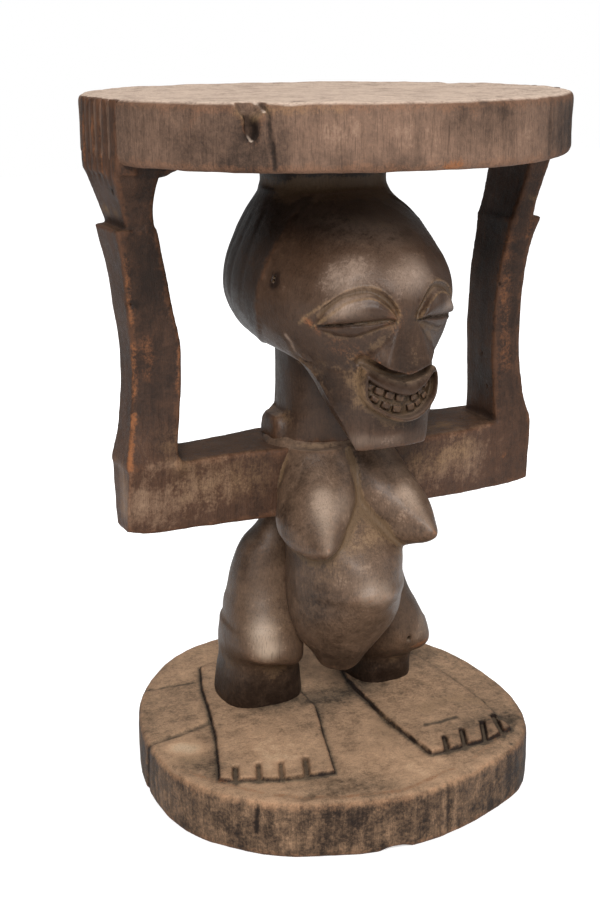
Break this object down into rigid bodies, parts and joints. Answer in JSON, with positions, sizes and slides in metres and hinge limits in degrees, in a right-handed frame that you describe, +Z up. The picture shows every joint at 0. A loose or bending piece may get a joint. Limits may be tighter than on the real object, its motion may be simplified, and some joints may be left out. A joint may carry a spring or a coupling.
{
  "type": "caryatid stool",
  "caption": "Carved wooden caryatid stool: a standing figure on a round base slab carries a thick round seat on its head and raised hands.",
  "frame": {"origin": "on the floor, under the middle of the base slab", "axes": "+Z up; the figure faces -Y and its right hand is at -X"},
  "size_m": [0.2969, 0.293, 0.44],
  "materials": {
    "base_slab_wood": "dull, dusty, worn smooth on top",
    "right_foot_wood": "dull, worn",
    "left_foot_wood": "dull, worn",
    "right_shin_wood": "dark handled patina, slight sheen",
    "left_shin_wood": "dark handled patina, slight sheen",
    "right_thigh_wood": "dark handled patina, satin",
    "left_thigh_wood": "dark handled patina, satin",
    "loin_wedge_wood": "mid brown, satin",
    "torso_wood": "mid brown, satin, worn at the navel",
    "right_breast_wood": "mid brown, satin",
    "left_breast_wood": "mid brown, satin",
    "right_upper_arm_wood": "brown, dusty upper face",
    "left_upper_arm_wood": "brown, dusty upper face",
    "right_forearm_wood": "dark patina, worn red brown at the edges",
    "left_forearm_wood": "dark patina, worn red brown at the edges",
    "right_hand_wood": "dark patina",
    "left_hand_wood": "dark patina",
    "neck_wood": "dark brown, satin",
    "head_wood": "dark brown, rubbed to a sheen on the brow and nose",
    "coiffure_wood": "dark brown, satin, upright grooves",
    "head_pad_wood": "dark brown, dull",
    "seat_slab_wood": "greyish brown, worn and matt"
  },
  "bodies": {
    "root": {"base_slab": "base_slab_wood", "right_foot": "right_foot_wood", "left_foot": "left_foot_wood", "right_shin": "right_shin_wood", "left_shin": "left_shin_wood", "right_thigh": "right_thigh_wood", "left_thigh": "left_thigh_wood", "loin_wedge": "loin_wedge_wood", "torso": "torso_wood", "right_breast": "right_breast_wood", "left_breast": "left_breast_wood", "right_upper_arm": "right_upper_arm_wood", "left_upper_arm": "left_upper_arm_wood", "right_forearm": "right_forearm_wood", "left_forearm": "left_forearm_wood", "right_hand": "right_hand_wood", "left_hand": "left_hand_wood", "neck": "neck_wood", "head": "head_wood", "coiffure": "coiffure_wood", "head_pad": "head_pad_wood", "seat_slab": "seat_slab_wood"}
  },
  "joints": []
}
